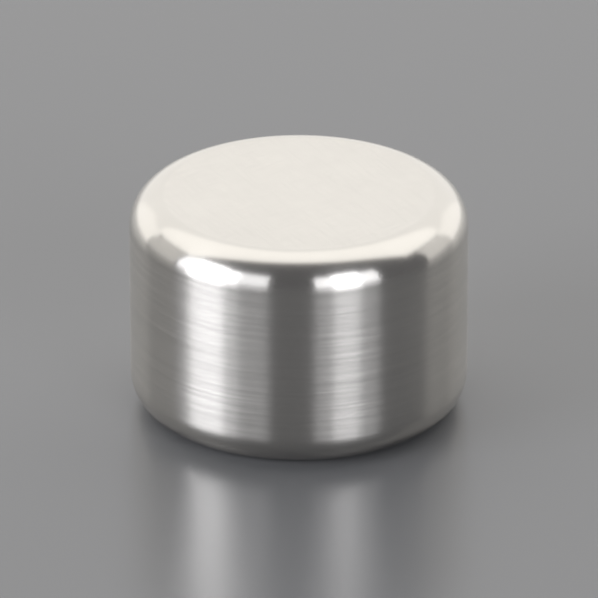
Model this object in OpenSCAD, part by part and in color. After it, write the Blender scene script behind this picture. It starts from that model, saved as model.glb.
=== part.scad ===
// Disc magnet: a sintered, ground and nickel plated disc with its poles on the two flat faces.
// It stands on its lower pole face. The Z axis is the disc's axis and its magnetic axis,
// and Z = 0 is the lower pole face. Sizes are over the plating, in millimetres.

/* [Disc] */
// Outside diameter of the ground wall
disc_d = 6; // [3:0.5:12]
// Thickness from pole face to pole face
disc_t = 4; // [2:0.5:10]

/* [Edges] */
// Radius that tumbling gives the edge round each pole face
edge_r = 0.6; // [0.1:0.05:0.8]

/* [Hidden] */
disc_r = disc_d / 2;
// Radius of the flat that is left on each pole face
face_r = disc_r - edge_r;
$fn = 96;

// Half section of the disc, from its axis out to its wall
module half_section() {
    // Full thickness under the flat pole faces
    square([face_r, disc_t]);
    // Full width along the straight wall
    translate([0, edge_r])
        square([disc_r, disc_t - 2 * edge_r]);
    // One tumbled edge at the lower face and one at the upper
    for (edge_z = [edge_r, disc_t - edge_r])
        translate([face_r, edge_z])
            circle(r = edge_r);
}

// The magnet is pressed, sintered, ground, tumbled and plated as one piece
module disc_magnet() {
    color("silver")
        rotate_extrude()
            half_section();
}

disc_magnet();
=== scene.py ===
# %% [markdown]
# A disc magnet is the plainest of parts: one sintered disc, ground to size, tumbled until its
# edges are round, and plated with nickel. All of its character is in how that thin plating
# catches the light, so most of this lesson is about light, reflections and fine surface marks.
# Everything is in metres, and the disc stands on its lower pole face, on the plane Z = 0.

import math

import bmesh
import bpy
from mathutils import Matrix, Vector


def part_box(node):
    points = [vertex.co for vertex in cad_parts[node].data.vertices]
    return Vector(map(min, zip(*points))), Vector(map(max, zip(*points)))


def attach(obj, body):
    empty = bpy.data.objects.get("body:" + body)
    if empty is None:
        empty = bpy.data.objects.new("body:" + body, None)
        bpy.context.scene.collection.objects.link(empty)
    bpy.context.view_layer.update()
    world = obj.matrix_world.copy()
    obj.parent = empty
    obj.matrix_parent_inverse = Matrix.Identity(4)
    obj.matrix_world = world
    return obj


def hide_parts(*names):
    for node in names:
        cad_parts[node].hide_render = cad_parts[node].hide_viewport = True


MM = 0.001

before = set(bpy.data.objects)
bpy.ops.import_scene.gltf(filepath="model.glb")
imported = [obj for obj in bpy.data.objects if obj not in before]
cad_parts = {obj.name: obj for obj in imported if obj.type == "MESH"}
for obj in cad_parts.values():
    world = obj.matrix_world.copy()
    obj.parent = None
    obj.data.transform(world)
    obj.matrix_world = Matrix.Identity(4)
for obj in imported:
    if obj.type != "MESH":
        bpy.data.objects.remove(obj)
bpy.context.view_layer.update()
disc_low, disc_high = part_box("disc_magnet")
disc_thickness = disc_high.z - disc_low.z
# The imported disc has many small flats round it, so its shortest reach is the one to keep within
disc_radius = min(disc_high.x, disc_high.y, -disc_low.x, -disc_low.y)
disc_centre = (disc_low + disc_high) / 2
print(f"disc: radius {disc_radius / MM:.3f} mm, thickness {disc_thickness / MM:.3f} mm")

# %% [markdown]
# The picture was taken from far off and from above the table, so upright lines look parallel
# and the round face shows as a narrow ellipse. The camera here stands on that same line of
# sight. It is closer than the real one was, but still so far off that the far edge of the disc
# looks almost as wide as the near one. A long lens then makes the disc large in the picture.

# %% Camera on the photograph's line of sight
VIEW_HEIGHT_ANGLE = math.radians(25)  # how far above the table the lens looks down from
LENS_MM = 500
SENSOR_MM = 36
FRAME_WIDTH = 10.6 * MM  # how much of the table the picture spans at the disc
AIM_BELOW_CENTRE = 0.065 * MM  # the disc stands this much above the picture's middle
CLIP_NEAR = 0.1  # the camera sees from this share of its distance
CLIP_FAR = 20  # up to this many times its distance

camera_data = bpy.data.cameras.new("product_camera")
camera_data.lens = LENS_MM
camera_data.sensor_width = SENSOR_MM
camera = bpy.data.objects.new("product_camera", camera_data)
bpy.context.scene.collection.objects.link(camera)

camera_distance = FRAME_WIDTH * LENS_MM / SENSOR_MM
toward_camera = Vector((0, -math.cos(VIEW_HEIGHT_ANGLE), math.sin(VIEW_HEIGHT_ANGLE)))
aim = disc_centre + Vector((0, 0, -AIM_BELOW_CENTRE))
camera.location = aim + toward_camera * camera_distance
camera.rotation_mode = "QUATERNION"
camera.rotation_quaternion = (-toward_camera).to_track_quat("-Z", "Y")
camera_data.clip_start = camera_distance * CLIP_NEAR
camera_data.clip_end = camera_distance * CLIP_FAR
bpy.context.scene.camera = camera
print(f"camera: {camera_distance / MM:.0f} mm from the disc, lens {LENS_MM} mm")

# %% [markdown]
# A material in Blender is a small tree of shader nodes. It can be drawn by hand in the node
# editor, but a script that builds it can be read and changed line by line. The two helpers
# here make a node and link it in one call, so each later step shows only what is special to it.

# %% Small helpers for shader nodes
def fresh_material(name):
    """A new material with one Principled shader; returns it with its tree and that shader."""
    material = bpy.data.materials.new(name)
    material.use_nodes = True
    tree = material.node_tree
    tree.nodes.clear()
    output = tree.nodes.new("ShaderNodeOutputMaterial")
    shader = tree.nodes.new("ShaderNodeBsdfPrincipled")
    tree.links.new(shader.outputs["BSDF"], output.inputs["Surface"])
    return material, tree, shader


def node(tree, kind, settings=None, **sockets):
    """A new node: settings are its own options, sockets are values or outputs to link."""
    made = tree.nodes.new(kind)
    for name, value in (settings or {}).items():
        setattr(made, name, value)
    for name, value in sockets.items():
        socket = made.inputs[name.replace("_", " ")]
        if isinstance(value, bpy.types.NodeSocket):
            tree.links.new(value, socket)
        else:
            socket.default_value = value
    return made


# %% [markdown]
# The table is a plain board with a satin lacquer. Its own colour is a mid grey, and the
# lacquer adds a soft mirror image of the disc below it, which is how the eye can tell that the
# disc stands on the board and doesn't float. A grain could be painted on, but a plain board
# keeps the eye on the metal.

# %% Floor: a wide plain board with a satin lacquer
BOARD_HALF_WIDTH = 1.5
BOARD_GREY = (0.146, 0.148, 0.152)
BOARD_ROUGHNESS = 0.24
LACQUER_SHINE = 0.58

board_mesh = bpy.data.meshes.new("board")
board_shape = bmesh.new()
bmesh.ops.create_grid(board_shape, x_segments=1, y_segments=1, size=BOARD_HALF_WIDTH)
board_shape.to_mesh(board_mesh)
board_shape.free()
board = bpy.data.objects.new("board", board_mesh)
bpy.context.scene.collection.objects.link(board)

board_material, _, board_shader = fresh_material("Satin lacquered board")
board_shader.inputs["Base Color"].default_value = (*BOARD_GREY, 1)
board_shader.inputs["Roughness"].default_value = BOARD_ROUGHNESS
board_shader.inputs["Specular IOR Level"].default_value = LACQUER_SHINE
board_mesh.materials.append(board_material)
print("board laid at the height of the lower pole face")

# %% [markdown]
# Metal shows what stands round it. A wide panel stands behind the disc and another hangs
# overhead, from there to a little in front of the disc, so the flat face mirrors an even light.
# A bright strip on the left and a weaker one on the right give the wall its two bands. Each has
# a wider and dimmer halo behind it, which softens the sides of its band, and a dim strip next
# to the left one lets that band fade slowly toward the middle. Dim lamps at both sides and in
# the back corners light the ends of the wall. The gaps between the lamps give the dark bands,
# and a low even glow of the room keeps those from turning black.

# %% Studio lights
def softbox(name, middle, facing, width, height, glow, tint):
    """A soft light panel round its middle point, as bright as glow says all over its face."""
    light_data = bpy.data.lights.new(name, "AREA")
    light_data.shape = "RECTANGLE"
    light_data.size = width
    light_data.size_y = height
    # A panel's brightness is its power shared over its area and over all directions
    light_data.energy = glow * width * height * math.pi
    light_data.color = tint
    light = bpy.data.objects.new(name, light_data)
    light.location = middle
    light.rotation_mode = "QUATERNION"
    light.rotation_quaternion = facing.to_track_quat("-Z", "Y")
    bpy.context.scene.collection.objects.link(light)
    print(f"light {name}: {width:.2f} by {height:.2f} m, {light_data.energy:.2f} W")


def standing_lamp(name, azimuth, width_angle, distance, glow, tint):
    """A lamp that stands on the table; azimuth 0 is the camera's side and 90 is the right."""
    turn = math.radians(azimuth)
    outward = Vector((math.sin(turn), -math.cos(turn), 0))
    middle = outward * distance + Vector((0, 0, LAMP_HEIGHT / 2))
    width = 2 * distance * math.tan(math.radians(width_angle / 2))
    softbox(name, middle, -outward, width, LAMP_HEIGHT, glow, tint)


WARM_WHITE = (1.0, 0.985, 0.958)
COOL_WHITE = (0.93, 0.945, 1.0)
LAMP_HEIGHT = 0.42
PANEL_DISTANCE = 0.8  # from the disc back to the panel behind it
PANEL_HEIGHT = 0.75  # of the panel behind, at whose top the overhead panel hangs
PANEL_FRONT = -0.06  # where the overhead panel ends, a little in front of the disc
PANEL_BEHIND_SHIFT = -0.05  # the panel behind stands a little to the left
PANEL_BEHIND_WIDTH = 2.7
PANEL_BEHIND_GLOW = 1.09
PANEL_OVERHEAD_WIDTH = 2.2
PANEL_OVERHEAD_GLOW = 1.4

softbox(
    "panel_behind",
    Vector((PANEL_BEHIND_SHIFT, PANEL_DISTANCE, PANEL_HEIGHT / 2)),
    Vector((0, -1, 0)),
    PANEL_BEHIND_WIDTH,
    PANEL_HEIGHT,
    PANEL_BEHIND_GLOW,
    WARM_WHITE,
)
softbox(
    "panel_overhead",
    Vector((0, (PANEL_DISTANCE + PANEL_FRONT) / 2, PANEL_HEIGHT)),
    Vector((0, 0, -1)),
    PANEL_OVERHEAD_WIDTH,
    PANEL_DISTANCE - PANEL_FRONT,
    PANEL_OVERHEAD_GLOW,
    WARM_WHITE,
)
# Angles are in degrees and distances in metres. A halo stands a little further out than its
# strip, because two lamps in one plane would take light from each other.
for name, azimuth, width_angle, distance, glow, tint in (
    ("strip_left", -64, 27, 0.60, 5.8, COOL_WHITE),
    ("strip_left_halo", -64, 46, 0.63, 1.95, COOL_WHITE),
    ("strip_left_fading", -34, 28, 0.60, 1.5, COOL_WHITE),
    ("strip_right", 32, 18, 0.60, 3.0, COOL_WHITE),
    ("strip_right_halo", 32.5, 44, 0.63, 1.75, COOL_WHITE),
    ("side_left", -104, 30, 0.70, 0.65, WARM_WHITE),
    ("side_right", 107.5, 27, 0.70, 0.75, WARM_WHITE),
    ("corner_left", -137, 34, 0.75, 0.2, WARM_WHITE),
    ("corner_right", 137, 34, 0.75, 0.2, WARM_WHITE),
):
    standing_lamp(name, azimuth, width_angle, distance, glow, tint)

GLOW_OF_THE_ROOM = 0.145
COLOUR_OF_THE_ROOM = (0.95, 0.95, 1, 1)
world = bpy.data.worlds.new("studio")
bpy.context.scene.world = world
world.use_nodes = True
world.node_tree.nodes.clear()
world_output = world.node_tree.nodes.new("ShaderNodeOutputWorld")
room = node(
    world.node_tree,
    "ShaderNodeBackground",
    Color=COLOUR_OF_THE_ROOM,
    Strength=GLOW_OF_THE_ROOM,
)
world.node_tree.links.new(room.outputs["Background"], world_output.inputs["Surface"])
bpy.context.scene.view_settings.view_transform = "Standard"

# %% [markdown]
# The magnet is a solid of revolution. One half of its section is four points: out along the
# lower pole face, up the wall and back to the axis along the upper face. Rounding the two outer
# corners gives the tumbled edges, and one full turn of that outline gives the disc. A cylinder
# with bevelled edges would look much the same, but the outline keeps each edge a true arc.

# %% Half section of the disc, with its two corners rounded
EDGE_RADIUS = 0.6 * MM
EDGE_STEPS = 16
TURN_STEPS = 256
SAME_PLACE = 1e-7  # points closer than this, in metres, are one point

outline = bmesh.new()
half_section = [
    outline.verts.new((0, 0, disc_low.z)),
    outline.verts.new((disc_radius, 0, disc_low.z)),
    outline.verts.new((disc_radius, 0, disc_high.z)),
    outline.verts.new((0, 0, disc_high.z)),
]
for start, end in zip(half_section, half_section[1:]):
    outline.edges.new((start, end))
bmesh.ops.bevel(
    outline,
    geom=half_section[1:3],
    offset=EDGE_RADIUS,
    offset_type="OFFSET",
    segments=EDGE_STEPS,
    profile=0.5,
    affect="VERTICES",
    material=-1,
)
print(f"half section: {len(outline.verts)} points")

# %% One full turn, then the seam and the two centres are closed
def place_in_row(face):
    """A number that only this face has, made from the three lowest numbers of its points."""
    lowest = sorted(vert.index for vert in face.verts)[:3]
    count = len(outline.verts)
    return (lowest[0] * count + lowest[1]) * count + lowest[2]


bmesh.ops.spin(
    outline,
    geom=outline.verts[:] + outline.edges[:],
    cent=(0, 0, 0),
    axis=(0, 0, 1),
    angle=math.tau,
    steps=TURN_STEPS,
    use_merge=True,
)
bmesh.ops.remove_doubles(outline, verts=outline.verts[:], dist=SAME_PLACE)
bmesh.ops.recalc_face_normals(outline, faces=outline.faces[:])
# The turn gives the same faces in another order each run, so they are put in a fixed one
outline.verts.index_update()
outline.faces.sort(key=place_in_row)
open_edges = [edge for edge in outline.edges if len(edge.link_faces) != 2]
print(f"disc: {len(outline.faces)} faces, {len(open_edges)} open edges")

# %% Sort the faces by the work that was done on them
POLE_FACE, RIM = 0, 1
STRAIGHT_UP = 0.9999  # a face that points up or down at least this much is a pole face
for face in outline.faces:
    face.smooth = True
    face.material_index = POLE_FACE if abs(face.normal.z) > STRAIGHT_UP else RIM

disc_mesh = bpy.data.meshes.new("nickel_plated_disc")
outline.to_mesh(disc_mesh)
outline.free()
disc = bpy.data.objects.new("nickel_plated_disc", disc_mesh)
bpy.context.scene.collection.objects.link(disc)

# %% [markdown]
# Smooth shading guesses how the surface faces at a point from the faces that meet there. Where
# a flat meets an arc that guess leans a little, and on bright metal the eye sees it at once.
# A finer mesh would only make the fault narrower. The true direction is known at every point
# of a tumbled disc, so it is written onto the mesh instead.

# %% Exact surface directions, so that the flats stay flat and the arcs stay round
ON_THE_AXIS = 1e-9  # a point nearer to the axis than this, in metres, is a centre point


def surface_direction(point):
    """The way the plated surface faces at a point of the disc."""
    reach = math.hypot(point.x, point.y)
    arc_height = min(max(point.z, disc_low.z + EDGE_RADIUS), disc_high.z - EDGE_RADIUS)
    arc_reach = min(reach, disc_radius - EDGE_RADIUS)
    out = max(reach - arc_reach, 0.0)
    up = point.z - arc_height
    if reach < ON_THE_AXIS:
        return Vector((0, 0, math.copysign(1, up)))
    return Vector((point.x / reach * out, point.y / reach * out, up)).normalized()


disc_mesh.normals_split_custom_set_from_vertices(
    [surface_direction(vertex.co) for vertex in disc_mesh.vertices]
)

# %% [markdown]
# Nickel is a slightly warm, fairly bright metal. The colour is nearly the same all over, and
# what changes from place to place is how fine the surface is. The pole faces get one material.
# The wall and the rounded edges share another, because the grinding marks of the wall fade out
# on the edges with no border. All patterns are measured on the disc itself, in millimetres.

# %% Nickel colour, and helpers for patterns that have a real size
NICKEL = (0.673, 0.65, 0.61)
CLOUD_SIZE = 1.2 * MM
CLOUD_DEPTH = 0.03
MARK_DEPTH = 0.05


def grain(tree, place, size, stretch=(1, 1, 1), turn=0.0, detail=2.0):
    """Noise whose spots are about as large as size; stretch makes them longer along an axis."""
    # The Texture kind of mapping turns the axes first and then divides by the size along each
    fitted = node(tree, "ShaderNodeMapping", {"vector_type": "TEXTURE"}, Vector=place)
    fitted.inputs["Rotation"].default_value = (0, 0, math.radians(turn))
    fitted.inputs["Scale"].default_value = [size * longer for longer in stretch]
    return node(
        tree, "ShaderNodeTexNoise", Vector=fitted.outputs["Vector"], Scale=1.0, Detail=detail
    ).outputs["Fac"]


def between(tree, amount, low, high, from_low=0.3, from_high=0.7):
    """Turns a value from one range into another, and stops at both ends."""
    ranged = node(tree, "ShaderNodeMapRange", Value=amount)
    limits = zip(("From Min", "From Max", "To Min", "To Max"), (from_low, from_high, low, high))
    for name, value in limits:
        ranged.inputs[name].default_value = value
    return ranged.outputs["Result"]


def maths(tree, operation, first, second):
    """One step of arithmetic on two values or outputs."""
    step = tree.nodes.new("ShaderNodeMath")
    step.operation = operation
    for socket, value in zip(step.inputs, (first, second)):
        if isinstance(value, bpy.types.NodeSocket):
            tree.links.new(value, socket)
        else:
            socket.default_value = value
    return step.outputs["Value"]


def relief(tree, height, depth, below=None):
    """Bumps of that real depth; below is the relief that they lie on."""
    bump = node(tree, "ShaderNodeBump", Height=height, Strength=1.0, Distance=depth)
    if below is not None:
        tree.links.new(below, bump.inputs["Normal"])
    return bump.outputs["Normal"]


def nickel(name):
    """A plated material; returns it with its tree, its shader and the place on the disc."""
    material, tree, shader = fresh_material(name)
    shader.inputs["Metallic"].default_value = 1.0
    return material, tree, shader, node(tree, "ShaderNodeTexCoord").outputs["Object"]


def tone(tree, shader, place, marks):
    """The nickel colour, a little darker in thin clouds of the plating and in the marks."""
    cloud = between(tree, grain(tree, place, CLOUD_SIZE, detail=4.0), 1 - CLOUD_DEPTH, 1)
    worn = between(tree, marks, 1 - MARK_DEPTH, 1)
    brightness = maths(tree, "MULTIPLY", cloud, worn)
    tinted = node(tree, "ShaderNodeVectorMath", {"operation": "SCALE"}, Scale=brightness)
    tinted.inputs[0].default_value = NICKEL
    tree.links.new(tinted.outputs["Vector"], shader.inputs["Base Color"])


# %% [markdown]
# The pole faces are ground flat on a lapping table before plating. Two sets of faint straight
# lines cross there, and the plating over them has the tiny pimples of sintered grain. All of
# these are only about a micrometre deep, so the face still mirrors the panel as one even light.
# They could be painted as a picture, but noise stretched along a line never repeats.

# %% Pole faces
FACE_ROUGHNESS = (0.16, 0.24)
LAP_LINE_DEPTH = 0.0008 * MM
CROSS_LINE_DEPTH = 0.0006 * MM
FACE_PIMPLE_DEPTH = 0.0012 * MM

face_material, face_tree, face_shader, face_place = nickel("Lapped nickel pole face")
lap_lines = grain(face_tree, face_place, 0.03 * MM, stretch=(1, 22, 40), turn=28)
cross_lines = grain(face_tree, face_place, 0.035 * MM, stretch=(1, 18, 40), turn=-49)
pimples = grain(face_tree, face_place, 0.06 * MM, detail=3.0)
face_relief = relief(face_tree, lap_lines, LAP_LINE_DEPTH)
face_relief = relief(face_tree, cross_lines, CROSS_LINE_DEPTH, face_relief)
face_relief = relief(face_tree, pimples, FACE_PIMPLE_DEPTH, face_relief)
face_tree.links.new(face_relief, face_shader.inputs["Normal"])
face_patches = grain(face_tree, face_place, 0.5 * MM, detail=5.0)
face_tree.links.new(
    between(face_tree, face_patches, *FACE_ROUGHNESS), face_shader.inputs["Roughness"]
)
tone(face_tree, face_shader, face_place, maths(face_tree, "MINIMUM", lap_lines, cross_lines))

# %% [markdown]
# The wall is ground between two wheels while the disc spins, so its marks run round and round.
# Such marks blur a reflection up and down but hardly sideways. Most of them are too fine to see
# one by one, and the shader's anisotropy stands for those. The coarser ones are bumps. Tumbling
# then rubs the edges, which closes the marks there and leaves the brightest places of all.

# %% Ground wall and tumbled edges
WALL_ROUGHNESS = (0.21, 0.27)
EDGE_ROUGHNESS = 0.19
RUBBED_ABOVE = 0.15 * MM  # where rubbing begins, measured back from the wall's own end
RUBBED_FULLY = 0.25 * MM  # how far past that end the surface is wholly rubbed smooth
ANISOTROPY = 0.9
ANISOTROPY_TURN = 0.25  # in full turns
FINE_RING_DEPTH = 0.001 * MM
BROAD_RING_DEPTH = 0.002 * MM
RIM_PIMPLE_DEPTH = 0.0007 * MM

rim_material, rim_tree, rim_shader, rim_place = nickel("Ground and tumbled nickel rim")
rim_shader.inputs["Anisotropic"].default_value = ANISOTROPY
rim_shader.inputs["Anisotropic Rotation"].default_value = ANISOTROPY_TURN

height = node(rim_tree, "ShaderNodeSeparateXYZ", Vector=rim_place).outputs["Z"]
from_middle = maths(rim_tree, "ABSOLUTE", maths(rim_tree, "SUBTRACT", height, disc_centre.z), 0)
wall_half = disc_thickness / 2 - EDGE_RADIUS
rubbed = between(rim_tree, from_middle, 0, 1, wall_half - RUBBED_ABOVE, wall_half + RUBBED_FULLY)
ground = maths(rim_tree, "SUBTRACT", 1.0, rubbed)

fine_rings = grain(rim_tree, rim_place, 0.04 * MM, stretch=(60, 60, 1), detail=1.0)
coarse_rings = grain(rim_tree, rim_place, 0.14 * MM, stretch=(25, 25, 1), detail=1.0)
rim_pimples = grain(rim_tree, rim_place, 0.08 * MM, detail=3.0)
rings = maths(rim_tree, "MULTIPLY", fine_rings, ground)
broad_rings = maths(rim_tree, "MULTIPLY", coarse_rings, ground)
rim_relief = relief(rim_tree, rings, FINE_RING_DEPTH)
rim_relief = relief(rim_tree, broad_rings, BROAD_RING_DEPTH, rim_relief)
rim_relief = relief(rim_tree, rim_pimples, RIM_PIMPLE_DEPTH, rim_relief)
rim_tree.links.new(rim_relief, rim_shader.inputs["Normal"])

wall_patches = grain(rim_tree, rim_place, 0.07 * MM, stretch=(35, 35, 1), detail=3.0)
wall_blur = between(rim_tree, wall_patches, *WALL_ROUGHNESS)
blur = node(rim_tree, "ShaderNodeMix", {"data_type": "FLOAT"})
rim_tree.links.new(rubbed, blur.inputs[0])
rim_tree.links.new(wall_blur, blur.inputs[2])
blur.inputs[3].default_value = EDGE_ROUGHNESS
rim_tree.links.new(blur.outputs[0], rim_shader.inputs["Roughness"])
tone(rim_tree, rim_shader, rim_place, rings)

for material in (face_material, rim_material):
    disc_mesh.materials.append(material)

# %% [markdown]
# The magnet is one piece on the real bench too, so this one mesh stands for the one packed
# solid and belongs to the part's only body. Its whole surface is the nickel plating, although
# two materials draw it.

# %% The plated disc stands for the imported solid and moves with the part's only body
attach(disc, "root")
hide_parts("disc_magnet")
